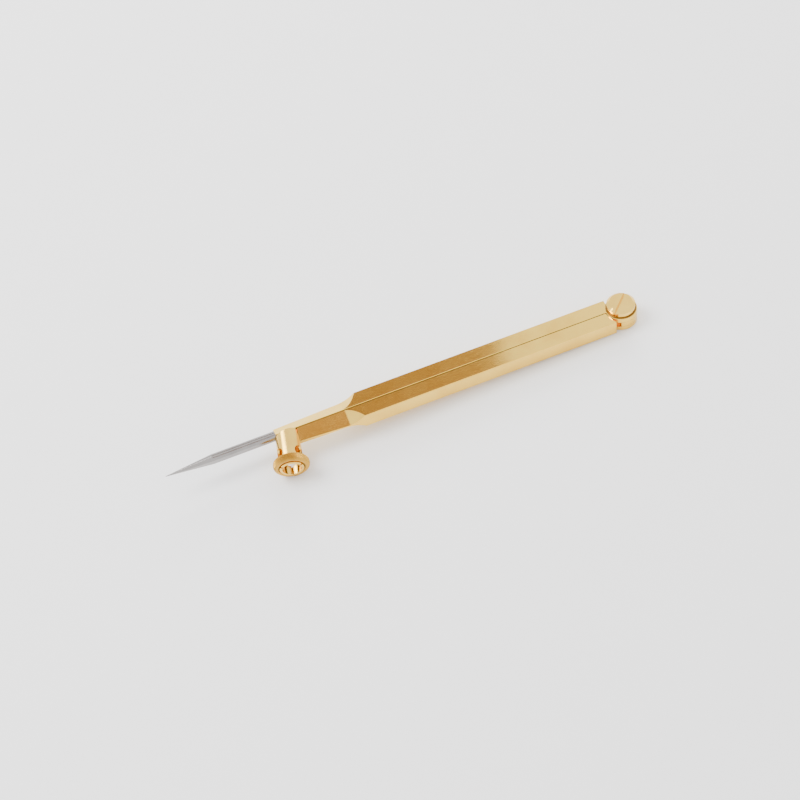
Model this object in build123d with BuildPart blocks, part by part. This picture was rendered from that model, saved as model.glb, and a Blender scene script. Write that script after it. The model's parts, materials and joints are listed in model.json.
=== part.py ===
from build123d import *
from math import cos, radians, sin, tan
import os

os.makedirs("parts", exist_ok=True)

# Driving sizes, mm. Hinge axis is Z through the origin, legs lie along -X, underside at Z = 0.
bar = 6.35  # side of the square bar both legs are made from
seam = 0.30  # gap between the closed legs
point_leg_length = 145.0  # hinge axis to the end of the point leg
pencil_leg_length = 136.5  # hinge axis to the end of the pencil leg, on the seam side
taper_start = 110.0  # hinge axis to the start of the side taper
taper_angle = 2.8  # plan taper of the outer side faces, degrees
facet_start = 118.5  # hinge axis to the full-depth start of the long facets
facet_angle = 26.5  # slope of the long facets across the leg, degrees
cutter_r = 12.7  # run-out radius at the start of the facets
edge_break = 0.18  # chamfer along the long edges

slot_gap = 2.4  # slot between the fork cheeks
slide_gap = 0.05  # axial clearance on each side of the tongue
head_gap = 0.25  # radial room round the hinge discs
shoulder_x = 4.7  # hinge axis to the square shoulder of the point leg
shoulder_angle = 17.5  # slope of the pencil leg shoulder, degrees
notch_width = 2.4  # relief notch beside the tongue, along the leg
notch_floor = 3.2  # hinge axis to the floor of the notch

shank_r = 2.5  # plain shoulder of the pivot screw
running_gap = 0.05  # radial clearance of turning fits
thread_r = 2.0  # threaded end of the pivot screw
screw_head_r = 5.7
screw_flat_r = 4.6
screw_head_height = 2.95
screw_bevel = 1.0  # height of the bevelled part of the screw head
slot_width = 1.1
slot_depth = 1.3
slot_angle = 45.0
washer_r = 6.1
washer_thickness = 0.35

point_exposed = 44.5  # steel outside the point leg
cone_length = 19.0
tip_r = 0.12
pin_r = 0.7

holder_lean = 13.0  # barrel axis from square to the leg, towards the tip, degrees
holder_droop = 7.0  # barrel axis below the plane of the legs, degrees
barrel_r = 4.75
bore_r = 3.7
relief_gap = 0.2  # the bore is wider by this much behind the gripping jaws
bore_floor = 3.6  # solid end of the barrel, where the pencil stops
saddle_depth = 0.5  # barrel let into the end of the pencil leg
cross_hole_r = 2.4
cross_hole_from_back = 8.7
slit_width = 0.8
nut_wall = 2.35  # barrel surface to the crest of the ring nut
nut_thickness = 3.2
nose_proud = 0.35  # split nose in front of the nut
stud_r = 1.2
stud_bite = 2.5  # stud let into the solid end of the barrel
stud_length = 8.0

# Derived sizes
mid_z = bar / 2
head_r = bar
cheek = (bar - slot_gap) / 2
tongue = slot_gap - 2 * slide_gap
clear_r = head_r + head_gap
notch_x = clear_r / cos(radians(shoulder_angle)) - bar * tan(radians(shoulder_angle))
rod_r = bar * 0.3125
tenon_r = rod_r * 0.75
tenon_length = bar * 1.6
rod_y = seam / 2 + rod_r + 0.05
pin_x = point_leg_length - tenon_length / 2
nut_r = barrel_r + nut_wall
nut_back = cross_hole_from_back + cross_hole_r
nut_front = nut_back + nut_thickness
jaws_back = nut_back + relief_gap
nose = nut_front + nose_proud
thread_bore_r = barrel_r + running_gap
lean_cos = cos(radians(holder_lean))
lean_sin = sin(radians(holder_lean))
droop_cos = cos(radians(holder_droop))
droop_sin = sin(radians(holder_droop))
barrel_x = pencil_leg_length + (barrel_r - saddle_depth) / lean_cos
stud_y = seam / 2 + bar * 0.32
stud_axis_x = barrel_x + (stud_y - seam / 2) * lean_sin / lean_cos
stud_end_x = stud_axis_x - (barrel_r - stud_bite) / lean_cos
back_room = barrel_r * 2

leg_section = Plane(origin=(0, 0, 0), x_dir=(0, 1, 0), z_dir=(1, 0, 0))
barrel_back = (-barrel_x, -seam / 2, mid_z)
barrel_dir = (-lean_sin * droop_cos, -lean_cos * droop_cos, -droop_sin)
across_dir = (lean_cos, -lean_sin, 0)
holder = Plane(origin=barrel_back, x_dir=across_dir, z_dir=barrel_dir)
holder_axis = Axis(barrel_back, barrel_dir)
profile_normal = (lean_sin * droop_sin, lean_cos * droop_sin, -droop_cos)
holder_profile = Plane(origin=barrel_back, x_dir=across_dir, z_dir=profile_normal)
cross_origin = (
    -barrel_x + cross_hole_from_back * barrel_dir[0],
    -seam / 2 + cross_hole_from_back * barrel_dir[1],
    mid_z + cross_hole_from_back * barrel_dir[2],
)
stud_plane = Plane(origin=(-stud_end_x, -stud_y, mid_z), x_dir=(0, 1, 0), z_dir=(1, 0, 0))
pin_plane = Plane(origin=(-pin_x, seam / 2, mid_z), x_dir=(1, 0, 0), z_dir=(0, 1, 0))
shoulder_dir = (cos(radians(shoulder_angle)), sin(radians(shoulder_angle)), 0)
facet_cos = cos(radians(facet_angle))
facet_sin = sin(radians(facet_angle))
runout_x = cutter_r * sin(radians(60))
runout_h = cutter_r * (1 - cos(radians(60)))
runout_mid = (cutter_r * sin(radians(30)), cutter_r * (1 - cos(radians(30))))
facet_length = 60.0

# Point leg: bar, hinge cheeks, facets, side taper, slot, pivot holes, point bore
with BuildPart() as point_leg:
    Cylinder(head_r, bar, align=(Align.CENTER, Align.CENTER, Align.MIN))
    chamfer(point_leg.edges().filter_by(GeomType.CIRCLE), edge_break)
    with BuildSketch(leg_section.offset(-point_leg_length)) as point_section:
        with Locations((seam / 2, 0)):
            Rectangle(bar - seam / 2, bar, align=(Align.MIN, Align.MIN))
        chamfer(point_section.vertices(), edge_break)
    extrude(amount=point_leg_length - shoulder_x)
    for face in (1, -1):
        far_facet = Plane(
            origin=(-facet_start, seam / 2, mid_z + face * mid_z),
            x_dir=(1, 0, 0),
            z_dir=(0, facet_cos, -face * facet_sin),
        )
        with BuildSketch(far_facet.offset(-3)):
            with BuildLine():
                Polyline((0, 0), (-facet_length, 0), (-facet_length, -face * runout_h), (runout_x, -face * runout_h))
                ThreePointArc((runout_x, -face * runout_h), (runout_mid[0], -face * runout_mid[1]), (0, 0))
            make_face()
        extrude(amount=bar * 2, mode=Mode.SUBTRACT)
    with BuildSketch(Plane.XY):
        taper_end = point_leg_length + 5
        taper_in = (taper_end - taper_start) * tan(radians(taper_angle))
        Polygon((-taper_start, bar), (-taper_end, bar), (-taper_end, bar - taper_in), align=None)
    extrude(amount=bar, mode=Mode.SUBTRACT)
    with BuildSketch(Plane.XY.offset(cheek)):
        Circle(clear_r)
    extrude(amount=slot_gap, mode=Mode.SUBTRACT)
    with BuildSketch(Plane.XY.offset(mid_z)):
        Circle(shank_r + running_gap)
    extrude(amount=bar, mode=Mode.SUBTRACT)
    with BuildSketch(Plane.XY):
        Circle(thread_r)
    extrude(amount=bar, mode=Mode.SUBTRACT)
    with BuildSketch(leg_section.offset(-point_leg_length)):
        with Locations((rod_y, mid_z)):
            Circle(tenon_r)
    extrude(amount=tenon_length, mode=Mode.SUBTRACT)
    with BuildSketch(pin_plane):
        Circle(pin_r)
    extrude(amount=rod_y - seam / 2, mode=Mode.SUBTRACT)
point_leg.part.label = "point_leg"
export_step(point_leg.part, "parts/point_leg.step")

# Pencil leg: bar, tongue disc, facets, side taper, shoulder, relief notch, saddle, stud hole
with BuildPart() as pencil_leg:
    with BuildSketch(leg_section.offset(-pencil_leg_length - bar)) as pencil_section:
        with Locations((-seam / 2, 0)):
            Rectangle(bar - seam / 2, bar, align=(Align.MAX, Align.MIN))
        chamfer(pencil_section.vertices(), edge_break)
    extrude(amount=pencil_leg_length + bar - notch_x)
    for face in (1, -1):
        near_facet = Plane(
            origin=(-facet_start, -seam / 2, mid_z + face * mid_z),
            x_dir=(1, 0, 0),
            z_dir=(0, -facet_cos, -face * facet_sin),
        )
        with BuildSketch(near_facet.offset(-3)):
            with BuildLine():
                Polyline((0, 0), (-facet_length, 0), (-facet_length, face * runout_h), (runout_x, face * runout_h))
                ThreePointArc((runout_x, face * runout_h), (runout_mid[0], face * runout_mid[1]), (0, 0))
            make_face()
        extrude(amount=bar * 2, mode=Mode.SUBTRACT)
    with BuildSketch(Plane.XY):
        near_end = pencil_leg_length + bar + 5
        near_in = (near_end - taper_start) * tan(radians(taper_angle))
        Polygon((-taper_start, -bar), (-near_end, -bar), (-near_end, near_in - bar), align=None)
    extrude(amount=bar, mode=Mode.SUBTRACT)
    for level, height in ((0, (bar - tongue) / 2), ((bar + tongue) / 2, (bar - tongue) / 2)):
        with BuildSketch(Plane(origin=(0, 0, level), x_dir=shoulder_dir, z_dir=(0, 0, 1))):
            with Locations((-clear_r, 0)):
                Rectangle(bar * 4, bar * 6, align=(Align.MIN, Align.CENTER))
        extrude(amount=height, mode=Mode.SUBTRACT)
    with BuildSketch(Plane.XY.offset((bar - tongue) / 2)):
        Circle(head_r)
    extrude(amount=tongue)
    with BuildSketch(Plane.XY):
        with Locations((-notch_x, -notch_floor)):
            Rectangle(notch_width, bar * 2, align=(Align.MIN, Align.MAX))
    extrude(amount=bar, mode=Mode.SUBTRACT)
    with BuildSketch(Plane.XY):
        Circle(shank_r + running_gap)
    extrude(amount=bar, mode=Mode.SUBTRACT)
    with BuildSketch(Plane.XY):
        end_run = bar * 2
        Polygon(
            (-pencil_leg_length + end_run * lean_sin, -seam / 2 + end_run * lean_cos),
            (-pencil_leg_length - end_run * lean_sin, -seam / 2 - end_run * lean_cos),
            (-pencil_leg_length - end_run * 3, -seam / 2 - end_run * lean_cos),
            (-pencil_leg_length - end_run * 3, -seam / 2 + end_run * lean_cos),
            align=None,
        )
    extrude(amount=bar, mode=Mode.SUBTRACT)
    with BuildSketch(holder.offset(-back_room)):
        Circle(barrel_r)
    extrude(amount=back_room + nose, mode=Mode.SUBTRACT)
    with BuildSketch(stud_plane):
        Circle(stud_r)
    extrude(amount=stud_length, mode=Mode.SUBTRACT)
pencil_leg.part.label = "pencil_leg"
export_step(pencil_leg.part, "parts/pencil_leg.step")

# Pivot screw: threaded end, plain shoulder, bevelled head with a screwdriver slot
with BuildPart() as pivot_screw:
    head_z = bar + washer_thickness
    with BuildSketch(Plane.XZ):
        Polygon(
            (0, 0),
            (thread_r, 0),
            (thread_r, cheek),
            (shank_r, cheek),
            (shank_r, head_z),
            (screw_head_r, head_z),
            (screw_head_r, head_z + screw_head_height - screw_bevel),
            (screw_flat_r, head_z + screw_head_height),
            (0, head_z + screw_head_height),
            align=None,
        )
    revolve(axis=Axis.Z)
    with BuildSketch(Plane.XY.offset(head_z + screw_head_height - slot_depth)):
        Rectangle(screw_head_r * 3, slot_width, rotation=slot_angle)
    extrude(amount=slot_depth * 2, mode=Mode.SUBTRACT)
pivot_screw.part.label = "pivot_screw"
export_step(pivot_screw.part, "parts/pivot_screw.step")

# Washer under the screw head
with BuildPart() as pivot_washer:
    with BuildSketch(Plane.XY.offset(bar)):
        Circle(washer_r)
        Circle(shank_r + running_gap, mode=Mode.SUBTRACT)
    extrude(amount=washer_thickness)
pivot_washer.part.label = "pivot_washer"
export_step(pivot_washer.part, "parts/pivot_washer.step")

# Steel point: tenon, parallel rod, long cone
with BuildPart() as steel_point:
    rod_origin = (-point_leg_length, rod_y, mid_z)
    with BuildSketch(Plane(origin=rod_origin, x_dir=(-1, 0, 0), z_dir=(0, 0, 1))):
        Polygon(
            (-tenon_length, 0),
            (-tenon_length, tenon_r),
            (0, tenon_r),
            (0, rod_r),
            (point_exposed - cone_length, rod_r),
            (point_exposed, tip_r),
            (point_exposed, 0),
            align=None,
        )
    revolve(axis=Axis(rod_origin, (-1, 0, 0)))
    with BuildSketch(pin_plane):
        Circle(pin_r)
    extrude(amount=rod_y - seam / 2, mode=Mode.SUBTRACT)
steel_point.part.label = "steel_point"
export_step(steel_point.part, "parts/steel_point.step")

# Blind pin through the seam face into the tenon
with BuildPart() as point_pin:
    with BuildSketch(pin_plane):
        Circle(pin_r)
    extrude(amount=rod_y - seam / 2)
point_pin.part.label = "point_pin"
export_step(point_pin.part, "parts/point_pin.step")

# Split barrel: blind bore, back end parallel to the seam, three side holes and slits to the nose
with BuildPart() as collet_barrel:
    with BuildSketch(holder.offset(-back_room)):
        Circle(barrel_r)
    extrude(amount=back_room + nose)
    chamfer(collet_barrel.edges().filter_by(GeomType.CIRCLE), edge_break)
    with BuildSketch(holder.offset(bore_floor)):
        Circle(bore_r + relief_gap)
    extrude(amount=jaws_back - bore_floor, mode=Mode.SUBTRACT)
    with BuildSketch(holder.offset(bore_floor)):
        Circle(bore_r)
    extrude(amount=nose, mode=Mode.SUBTRACT)
    with BuildSketch(Plane(origin=barrel_back, x_dir=(1, 0, 0), z_dir=(0, 1, 0))):
        Rectangle(back_room * 4, back_room * 4)
    extrude(amount=back_room * 2, mode=Mode.SUBTRACT)
    for turn in (30, 150, 270):
        ray = holder.x_dir * cos(radians(turn)) + holder.y_dir * sin(radians(turn))
        with BuildSketch(Plane(origin=cross_origin, x_dir=barrel_dir, z_dir=ray)):
            Circle(cross_hole_r)
            Rectangle(nose, slit_width, align=(Align.MIN, Align.CENTER))
        extrude(amount=barrel_r * 2, mode=Mode.SUBTRACT)
    with BuildSketch(stud_plane):
        Circle(stud_r)
    extrude(amount=stud_length, mode=Mode.SUBTRACT)
collet_barrel.part.label = "collet_barrel"
export_step(collet_barrel.part, "parts/collet_barrel.step")

# Stud between the pencil leg and the barrel wall
with BuildPart() as holder_stud:
    with BuildSketch(stud_plane):
        Circle(stud_r)
    extrude(amount=stud_length)
holder_stud.part.label = "holder_stud"
export_step(holder_stud.part, "parts/holder_stud.step")

# Ring nut, rounded rim, coned mouth
with BuildPart() as collet_nut:
    with BuildSketch(holder_profile):
        with BuildLine():
            rim_back = (nut_r, nut_back + nut_thickness * 0.3)
            rim_front = (nut_r, nut_back + nut_thickness * 0.6)
            face_back = (nut_r * 0.93, nut_back)
            face_front = (nut_r * 0.84, nut_front)
            Polyline((thread_bore_r, nut_back), face_back)
            ThreePointArc(face_back, (nut_r * 0.98, nut_back + nut_thickness * 0.09), rim_back)
            Line(rim_back, rim_front)
            ThreePointArc(rim_front, (nut_r * 0.953, nut_back + nut_thickness * 0.89), face_front)
            Polyline(
                face_front,
                (thread_bore_r + 0.4, nut_front),
                (thread_bore_r, nut_front - 0.7),
                (thread_bore_r, nut_back),
            )
        make_face()
    revolve(axis=holder_axis)
collet_nut.part.label = "collet_nut"
export_step(collet_nut.part, "parts/collet_nut.step")
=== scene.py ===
"""Looks, light and camera for the brass pencil compass."""

from __future__ import annotations

import json
import logging
import math
from dataclasses import dataclass, field
from enum import Enum

import bpy
from mathutils import Matrix, Vector

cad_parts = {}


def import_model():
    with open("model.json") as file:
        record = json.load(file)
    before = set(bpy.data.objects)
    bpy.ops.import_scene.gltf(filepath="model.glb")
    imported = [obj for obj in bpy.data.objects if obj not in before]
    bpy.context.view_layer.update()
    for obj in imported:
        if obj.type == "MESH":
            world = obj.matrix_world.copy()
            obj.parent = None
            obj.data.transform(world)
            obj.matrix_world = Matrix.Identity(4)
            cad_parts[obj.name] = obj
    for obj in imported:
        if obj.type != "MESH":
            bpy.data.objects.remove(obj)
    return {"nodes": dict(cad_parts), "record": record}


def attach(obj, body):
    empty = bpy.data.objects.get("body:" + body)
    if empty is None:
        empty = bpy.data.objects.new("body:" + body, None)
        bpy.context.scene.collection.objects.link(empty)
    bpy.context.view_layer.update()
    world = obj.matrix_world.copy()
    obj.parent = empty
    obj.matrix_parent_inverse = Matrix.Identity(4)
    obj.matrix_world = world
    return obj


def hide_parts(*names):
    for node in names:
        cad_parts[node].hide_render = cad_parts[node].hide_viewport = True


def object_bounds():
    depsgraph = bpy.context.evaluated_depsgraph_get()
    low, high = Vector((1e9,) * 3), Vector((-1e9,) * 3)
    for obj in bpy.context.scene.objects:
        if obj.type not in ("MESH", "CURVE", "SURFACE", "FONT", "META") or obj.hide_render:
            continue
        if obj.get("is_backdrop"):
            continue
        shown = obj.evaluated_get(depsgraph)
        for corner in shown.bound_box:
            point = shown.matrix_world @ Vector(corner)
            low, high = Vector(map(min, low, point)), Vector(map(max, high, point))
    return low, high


log = logging.getLogger("compass")
MM = 0.001
NUT_BACK = 11.1  # barrel's back end to the nut's back face, mm
BORE_MOUNT = 13.0  # barrel's back end to the stated point of the pencil bore, mm
HINGE_REST_X = 0.006  # where the hinge end touches the table, m
TABLE_GAP = 0.00005  # table below the contact points, m
TABLE_SIZE = 6.0
ROOM_STRENGTH = 1.85
SENSOR_WIDTH = 36.0
FOCAL_RATIO = 1885.18 / 800.0  # focal length over sensor width
CAMERA_PLACE = (-0.20641263, -0.4496990, 0.5673510)
CAMERA_RIGHT = (0.9265822, -0.3614844, -0.1038008)
CAMERA_UP = (0.3436932, 0.7018029, 0.6239773)
MARK_TURNS = (0.55, -0.5)  # directions of the crossed marks, radians
CLOUDS = (("Patch", 90.0, 0.42, 0.72), ("Speck", 1500.0, 0.66, 0.74))
BUMP_DISTANCE = 0.00002
RIM_STEP = 0.13  # longest run along the knurled rim, mm
STEPS_PER_TOOTH = 8


class Slot(Enum):
    """Material slots of the record."""

    LEG = "leg_brass"
    SCREW = "screw_brass"
    WASHER = "washer_brass"
    HOLDER = "holder_brass"
    KNURL = "knurl_brass"
    POINT = "point_steel"


class Marks(Enum):
    """Direction of the fine marks left by polishing or turning."""

    CROSSED = "crossed"
    ALONG = "along"
    TURNED = "turned"


@dataclass(frozen=True)
class MetalFinish:
    """A metal surface.

    Attributes:
        name: Material name.
        color: Clean reflection colour.
        deep: Colour of the tarnished patches.
        roughness: Lowest and highest roughness.
        marks: Kind of fine marks.
        bump: Height strength of the marks.
        tarnish: Share of the darker colour, 0 to 1.
        dust: Share of the pale specks, 0 to 1.
    """

    name: str
    color: tuple[float, float, float]
    deep: tuple[float, float, float]
    roughness: tuple[float, float]
    marks: Marks
    bump: float
    tarnish: float
    dust: float = 0.0


LEG = MetalFinish(
    name="polished_brass",
    color=(0.95, 0.63, 0.12),
    deep=(0.66, 0.33, 0.03),
    roughness=(0.07, 0.20),
    marks=Marks.CROSSED,
    bump=0.10,
    tarnish=0.30,
    dust=0.12,
)
SCREW = MetalFinish(
    name="turned_brass",
    color=(0.94, 0.62, 0.13),
    deep=(0.62, 0.32, 0.04),
    roughness=(0.10, 0.22),
    marks=Marks.TURNED,
    bump=0.12,
    tarnish=0.35,
)
# Painted shade: the washer's colour and deep colour are near black so that it shows as the dark
# shaded ring at the base of the screw head.
WASHER = MetalFinish(
    name="washer_painted_shade",
    color=(0.22, 0.12, 0.03),
    deep=(0.10, 0.05, 0.01),
    roughness=(0.40, 0.60),
    marks=Marks.TURNED,
    bump=0.15,
    tarnish=0.6,
)
HOLDER = MetalFinish(
    name="holder_brass",
    color=(0.92, 0.60, 0.13),
    deep=(0.52, 0.26, 0.03),
    roughness=(0.14, 0.28),
    marks=Marks.TURNED,
    bump=0.15,
    tarnish=0.40,
)
KNURL = MetalFinish(
    name="knurled_brass",
    color=(0.66, 0.37, 0.05),
    deep=(0.22, 0.09, 0.01),
    roughness=(0.24, 0.40),
    marks=Marks.TURNED,
    bump=0.20,
    tarnish=0.55,
    dust=0.1,
)
STEEL = MetalFinish(
    name="ground_steel",
    color=(0.36, 0.34, 0.33),
    deep=(0.16, 0.15, 0.15),
    roughness=(0.16, 0.28),
    marks=Marks.ALONG,
    bump=0.15,
    tarnish=0.35,
)


class SharedEffects:
    """Node groups used by every metal: fine marks, tarnish and dust."""

    def __init__(self) -> None:
        """Builds the groups once."""
        self.marks = self._marks()
        self.tarnish = self._tarnish()

    @staticmethod
    def _group(name: str, outputs: list[str]) -> tuple[bpy.types.NodeTree, bpy.types.Node]:
        """Makes an empty group with float outputs.

        Args:
            name: Group name.
            outputs: Names of the float outputs.

        Returns:
            The tree and its output node.
        """
        tree = bpy.data.node_groups.new(name, "ShaderNodeTree")
        tree.interface.new_socket(name="Stretch", in_out="INPUT", socket_type="NodeSocketVector")
        for label in outputs:
            tree.interface.new_socket(name=label, in_out="OUTPUT", socket_type="NodeSocketFloat")
        return tree, tree.nodes.new("NodeGroupOutput")

    def _marks(self) -> bpy.types.NodeTree:
        """Fine scratches in two stretched directions.

        Returns:
            Group with inputs Stretch and outputs Height and Haze.
        """
        tree, out = self._group("fine_marks", ["Height", "Haze"])
        entry = tree.nodes.new("NodeGroupInput")
        coord = tree.nodes.new("ShaderNodeTexCoord")
        heights = []
        for turn in MARK_TURNS:
            rotate = tree.nodes.new("ShaderNodeVectorRotate")
            rotate.inputs["Angle"].default_value = turn
            rotate.inputs["Axis"].default_value = (0, 0, 1)
            scale = tree.nodes.new("ShaderNodeVectorMath")
            scale.operation = "MULTIPLY"
            noise = tree.nodes.new("ShaderNodeTexNoise")
            noise.inputs["Scale"].default_value = 1.0
            noise.inputs["Detail"].default_value = 5.0
            tree.links.new(coord.outputs["Object"], rotate.inputs["Vector"])
            tree.links.new(rotate.outputs["Vector"], scale.inputs[0])
            tree.links.new(entry.outputs["Stretch"], scale.inputs[1])
            tree.links.new(scale.outputs["Vector"], noise.inputs["Vector"])
            heights.append(noise.outputs["Fac"])
        mix = tree.nodes.new("ShaderNodeMath")
        mix.operation = "MAXIMUM"
        tree.links.new(heights[0], mix.inputs[0])
        tree.links.new(heights[1], mix.inputs[1])
        haze = tree.nodes.new("ShaderNodeMapRange")
        haze.inputs["From Min"].default_value = 0.45
        haze.inputs["From Max"].default_value = 0.75
        tree.links.new(mix.outputs["Value"], haze.inputs["Value"])
        tree.links.new(mix.outputs["Value"], out.inputs["Height"])
        tree.links.new(haze.outputs["Result"], out.inputs["Haze"])
        return tree

    def _tarnish(self) -> bpy.types.NodeTree:
        """Soft cloudy patches and small specks.

        Returns:
            Group with outputs Patch and Speck.
        """
        tree, out = self._group("tarnish", ["Patch", "Speck"])
        coord = tree.nodes.new("ShaderNodeTexCoord")
        for label, size, low, high in CLOUDS:
            noise = tree.nodes.new("ShaderNodeTexNoise")
            noise.inputs["Scale"].default_value = size
            noise.inputs["Detail"].default_value = 4.0
            ramp = tree.nodes.new("ShaderNodeMapRange")
            ramp.inputs["From Min"].default_value = low
            ramp.inputs["From Max"].default_value = high
            tree.links.new(coord.outputs["Object"], noise.inputs["Vector"])
            tree.links.new(noise.outputs["Fac"], ramp.inputs["Value"])
            tree.links.new(ramp.outputs["Result"], out.inputs[label])
        return tree


class MetalShop:
    """Builds the metal materials from their finishes."""

    STRETCH = {
        Marks.CROSSED: (260.0, 5200.0, 3000.0),
        Marks.ALONG: (400.0, 6000.0, 6000.0),
        Marks.TURNED: (3200.0, 3200.0, 3200.0),
    }

    def __init__(self, effects: SharedEffects) -> None:
        """Keeps the shared groups.

        Args:
            effects: Node groups for marks and tarnish.
        """
        self.effects = effects

    def build(self, finish: MetalFinish) -> bpy.types.Material:
        """Makes one material.

        Args:
            finish: Sizes and colours of the surface.

        Returns:
            The material.
        """
        mat = bpy.data.materials.new(finish.name)
        mat.use_nodes = True
        tree = mat.node_tree
        bsdf = tree.nodes["Principled BSDF"]
        bsdf.inputs["Metallic"].default_value = 1.0
        marks = tree.nodes.new("ShaderNodeGroup")
        marks.node_tree = self.effects.marks
        marks.inputs["Stretch"].default_value = self.STRETCH[finish.marks]
        cloud = tree.nodes.new("ShaderNodeGroup")
        cloud.node_tree = self.effects.tarnish
        share = tree.nodes.new("ShaderNodeMath")
        share.operation = "MULTIPLY"
        share.inputs[1].default_value = finish.tarnish
        tone = tree.nodes.new("ShaderNodeMix")
        tone.data_type = "RGBA"
        tone.inputs["A"].default_value = (*finish.color, 1)
        tone.inputs["B"].default_value = (*finish.deep, 1)
        tree.links.new(cloud.outputs["Patch"], share.inputs[0])
        tree.links.new(share.outputs["Value"], tone.inputs["Factor"])
        rough = tree.nodes.new("ShaderNodeMapRange")
        rough.inputs["To Min"].default_value = finish.roughness[0]
        rough.inputs["To Max"].default_value = finish.roughness[1]
        blend = tree.nodes.new("ShaderNodeMath")
        blend.operation = "MAXIMUM"
        speck = tree.nodes.new("ShaderNodeMath")
        speck.operation = "MULTIPLY"
        speck.inputs[1].default_value = finish.dust
        bump = tree.nodes.new("ShaderNodeBump")
        bump.inputs["Strength"].default_value = finish.bump
        bump.inputs["Distance"].default_value = BUMP_DISTANCE
        tree.links.new(cloud.outputs["Speck"], speck.inputs[0])
        tree.links.new(marks.outputs["Haze"], blend.inputs[0])
        tree.links.new(speck.outputs["Value"], blend.inputs[1])
        tree.links.new(blend.outputs["Value"], rough.inputs["Value"])
        tree.links.new(marks.outputs["Height"], bump.inputs["Height"])
        tree.links.new(tone.outputs["Result"], bsdf.inputs["Base Color"])
        tree.links.new(rough.outputs["Result"], bsdf.inputs["Roughness"])
        tree.links.new(bump.outputs["Normal"], bsdf.inputs["Normal"])
        return mat


@dataclass
class RingNut:
    """Knurled ring nut of the pencil holder, sizes in millimetres.

    Attributes:
        centre: Centre of the back face on the barrel axis.
        direction: Unit direction of the barrel axis, towards the nose.
        radius: Crest radius of the knurl.
        bore: Radius of the threaded bore.
        thickness: Length along the axis.
        teeth: Number of knurl ridges.
        depth: Depth of the knurl grooves.
        pitch: Length of one knurl diamond across the rim.
        profile: (radius, position) of the section, from the bore's back edge round the rim.
    """

    centre: Vector
    direction: Vector
    radius: float = 7.1
    bore: float = 4.8
    thickness: float = 3.2
    teeth: int = 54
    depth: float = 0.60
    pitch: float = 0.95
    profile: list[tuple[float, float]] = field(default_factory=list)

    def __post_init__(self) -> None:
        """Works out the section when none is given."""
        if not self.profile:
            r, t, b = self.radius, self.thickness, self.bore
            back = [(b, 0.0), (b + 0.5, 0.0), (r * 0.86, 0.0), (r * 0.93, 0.05)]
            rim = [(r * 0.972, 0.3), (r * 0.993, 0.65), (r, 1.05), (r, 1.5), (r, 1.9)]
            rim += [(r * 0.992, 2.3), (r * 0.965, 2.7), (r * 0.92, 3.0)]
            front = [(r * 0.85, t), (r * 0.79, t), (b + 0.62, t), (b + 0.4, t - 0.05)]
            mouth = [(b, t - 0.75), (b, t * 0.5)]
            self.profile = back + rim + front + mouth

    def outline(self) -> list[tuple[float, float, float]]:
        """Divides the section into short runs.

        Returns:
            (radius, position, run) along the section, run counted from its start.
        """
        points: list[tuple[float, float, float]] = []
        total = 0.0
        for k, (r0, a0) in enumerate(self.profile):
            r1, a1 = self.profile[(k + 1) % len(self.profile)]
            length = math.hypot(r1 - r0, a1 - a0)
            on_rim = max(r0, r1) > self.radius * 0.8
            parts = max(1, round(length / RIM_STEP)) if on_rim else 1
            for j in range(parts):
                t = j / parts
                points.append((r0 + (r1 - r0) * t, a0 + (a1 - a0) * t, total + length * t))
            total += length
        return points

    def build(self, material: bpy.types.Material) -> bpy.types.Object:
        """Makes the nut.

        Args:
            material: Metal of the nut.

        Returns:
            The nut's object, in place.
        """
        steps = self.teeth * STEPS_PER_TOOTH
        outline = self.outline()
        across = self.direction.cross(Vector((0, 0, 1))).normalized()
        up = across.cross(self.direction).normalized()
        verts: list[Vector] = []
        for i in range(steps):
            angle = 2 * math.pi * i / steps
            ray = across * math.cos(angle) + up * math.sin(angle)
            around = math.cos(self.teeth * angle)
            for radius, along, run in outline:
                grip = max(0.0, min(1.0, (radius / self.radius - 0.80) / 0.10))
                across_rim = math.cos(2 * math.pi * run / self.pitch)
                cut = self.depth * grip * (0.5 - 0.5 * around * across_rim)
                point = self.centre + self.direction * along + ray * (radius - cut)
                verts.append(point * MM)
        count = len(outline)
        faces = []
        for i in range(steps):
            j = (i + 1) % steps
            for k in range(count):
                m = (k + 1) % count
                faces.append((i * count + k, j * count + k, j * count + m, i * count + m))
        mesh = bpy.data.meshes.new("ring_nut")
        mesh.from_pydata([tuple(v) for v in verts], [], faces)
        mesh.update()
        obj = bpy.data.objects.new("ring_nut", mesh)
        bpy.context.scene.collection.objects.link(obj)
        bpy.ops.object.select_all(action="DESELECT")
        bpy.context.view_layer.objects.active = obj
        obj.select_set(True)
        bpy.ops.object.mode_set(mode="EDIT")
        bpy.ops.mesh.select_all(action="SELECT")
        bpy.ops.mesh.normals_make_consistent(inside=False)
        bpy.ops.object.mode_set(mode="OBJECT")
        bpy.ops.object.shade_smooth_by_angle(angle=math.radians(40))
        obj.data.materials.append(material)
        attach(obj, "ring_nut")
        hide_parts("collet_nut")
        return obj


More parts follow.
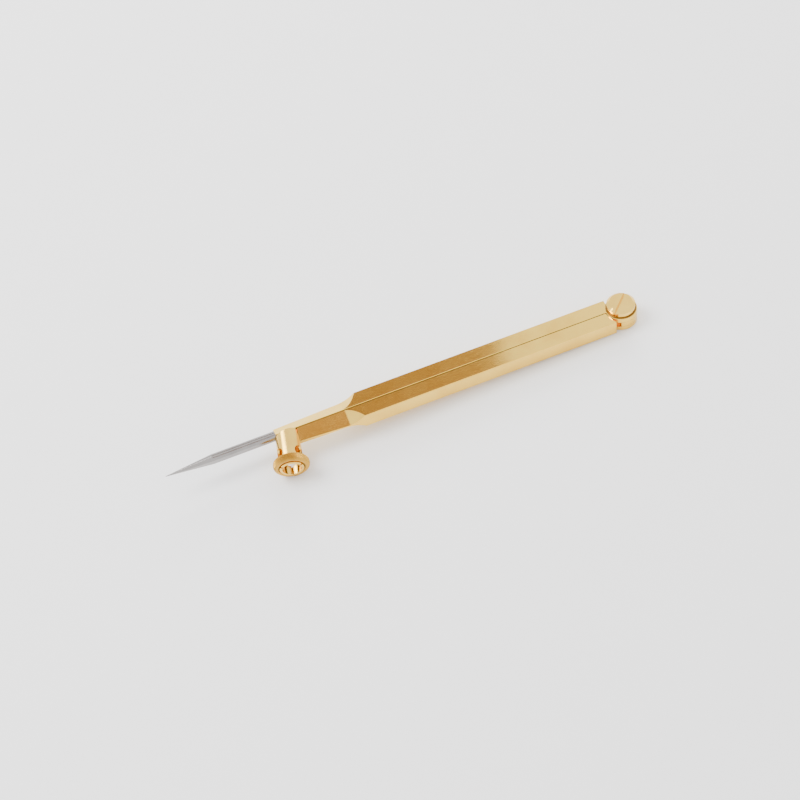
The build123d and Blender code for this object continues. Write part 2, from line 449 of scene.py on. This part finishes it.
@dataclass
class Studio:
    """Table, lights and camera, sizes in metres.

    Attributes:
        underside: Height of the lowest point of the hinge end.
        nut_low: Lowest point of the ring nut.
        target: Middle of the object.
    """

    underside: float
    nut_low: Vector
    target: Vector

    def floor(self) -> None:
        """Lays the pale table through the hinge end and the nut's lowest point."""
        run = self.nut_low.x - HINGE_REST_X
        slope = math.atan2(self.nut_low.z - self.underside, run)
        bpy.ops.mesh.primitive_grid_add(x_subdivisions=4, y_subdivisions=4, size=TABLE_SIZE)
        table = bpy.context.object
        table.name = "table"
        table.location = (HINGE_REST_X, 0, self.underside - TABLE_GAP)
        table.rotation_euler = (0, -slope, 0)
        mat = bpy.data.materials.new("table_white")
        mat.use_nodes = True
        tree = mat.node_tree
        bsdf = tree.nodes["Principled BSDF"]
        noise = tree.nodes.new("ShaderNodeTexNoise")
        noise.inputs["Scale"].default_value = 60.0
        tone = tree.nodes.new("ShaderNodeMix")
        tone.data_type = "RGBA"
        tone.inputs["A"].default_value = (0.97, 0.97, 0.97, 1)
        tone.inputs["B"].default_value = (0.945, 0.945, 0.95, 1)
        coord = tree.nodes.new("ShaderNodeTexCoord")
        tree.links.new(coord.outputs["Object"], noise.inputs["Vector"])
        tree.links.new(noise.outputs["Fac"], tone.inputs["Factor"])
        tree.links.new(tone.outputs["Result"], bsdf.inputs["Base Color"])
        bsdf.inputs["Roughness"].default_value = 0.7
        table.data.materials.append(mat)
        table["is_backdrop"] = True

    def area(
        self,
        name: str,
        place: tuple[float, float, float],
        size: tuple[float, float],
        power: float,
    ) -> None:
        """Adds one soft light aimed at the object.

        Args:
            name: Light name.
            place: Offset from the object's middle.
            size: Width and height.
            power: Watts.
        """
        data = bpy.data.lights.new(name, "AREA")
        data.shape = "RECTANGLE"
        data.size, data.size_y = size
        data.energy = power
        lamp = bpy.data.objects.new(name, data)
        lamp.location = self.target + Vector(place)
        lamp.rotation_euler = (-Vector(place)).to_track_quat("-Z", "Y").to_euler()
        bpy.context.scene.collection.objects.link(lamp)

    def card(
        self,
        name: str,
        place: tuple[float, float, float],
        size: tuple[float, float],
        tone: float,
    ) -> None:
        """Adds a warm dark board that the metal reflects.

        Args:
            name: Board name.
            place: Offset from the object's middle.
            size: Width and height.
            tone: Brightness of the warm board.
        """
        bpy.ops.mesh.primitive_plane_add(size=1.0)
        board = bpy.context.object
        board.name = name
        board.scale = (size[0], size[1], 1)
        board.location = self.target + Vector(place)
        board.rotation_euler = (-Vector(place)).to_track_quat("Z", "Y").to_euler()
        mat = bpy.data.materials.new(name)
        mat.use_nodes = True
        bsdf = mat.node_tree.nodes["Principled BSDF"]
        bsdf.inputs["Base Color"].default_value = (tone, tone * 0.66, tone * 0.46, 1)
        bsdf.inputs["Roughness"].default_value = 0.9
        board.data.materials.append(mat)
        board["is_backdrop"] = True

    def light(self) -> None:
        """Soft studio light and a pale surrounding."""
        world = bpy.data.worlds.new("room")
        bpy.context.scene.world = world
        world.use_nodes = True
        shade = world.node_tree.nodes["Background"]
        shade.inputs["Color"].default_value = (1.0, 1.0, 1.0, 1)
        shade.inputs["Strength"].default_value = ROOM_STRENGTH
        self.area("top_left", (-0.60, 0.35, 0.85), (0.6, 0.6), 13.0)
        self.area("back", (0.45, 0.85, 0.45), (0.7, 0.4), 8.0)
        self.card("dark_behind", (0.035, 0.33, 0.40), (0.23, 0.16), 0.24)
        self.card("dark_above", (0.0, -0.16, 0.66), (0.22, 0.20), 0.30)

    def camera(self) -> None:
        """Places the camera above and in front of the long side."""
        data = bpy.data.cameras.new("camera")
        data.sensor_width = SENSOR_WIDTH
        data.lens = SENSOR_WIDTH * FOCAL_RATIO
        data.clip_start, data.clip_end = 0.05, 20.0
        cam = bpy.data.objects.new("camera", data)
        right = Vector(CAMERA_RIGHT)
        up = Vector(CAMERA_UP)
        back = right.cross(up)
        turn = Matrix((right, up, back)).transposed().to_4x4()
        cam.matrix_world = Matrix.Translation(Vector(CAMERA_PLACE)) @ turn
        bpy.context.scene.collection.objects.link(cam)
        bpy.context.scene.camera = cam


def main() -> None:
    """Builds the scene in order."""
    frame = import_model()
    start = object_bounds()
    shop = MetalShop(SharedEffects())
    metals = {
        "point_leg": shop.build(LEG),
        "pivot_screw": shop.build(SCREW),
        "pivot_washer": shop.build(WASHER),
        "collet_barrel": shop.build(HOLDER),
        "steel_point": shop.build(STEEL),
    }
    metals["pencil_leg"] = metals["point_leg"]
    metals["holder_stud"] = metals["collet_barrel"]
    metals["point_pin"] = metals["steel_point"]
    for node, metal in metals.items():
        obj = frame["nodes"][node]
        for place in obj.material_slots:
            place.material = metal
        log.info("finish on %s", node)
    mount = next(m for m in frame["record"]["mounts"] if m["name"] == "pencil_bore")
    axis = Vector(mount["axis"]).normalized()
    back = Vector(mount["pos_m"]) * 1000 + axis * (NUT_BACK - BORE_MOUNT)
    nut = RingNut(back, axis).build(shop.build(KNURL))
    low = min((v.co.copy() for v in nut.data.vertices), key=lambda c: c.z)
    middle = (Vector(start[0]) + Vector(start[1])) / 2
    studio = Studio(underside=0.0, nut_low=low, target=middle)
    studio.floor()
    studio.light()
    studio.camera()


if __name__ == "__main__":
    logging.basicConfig(level=logging.INFO)
    main()
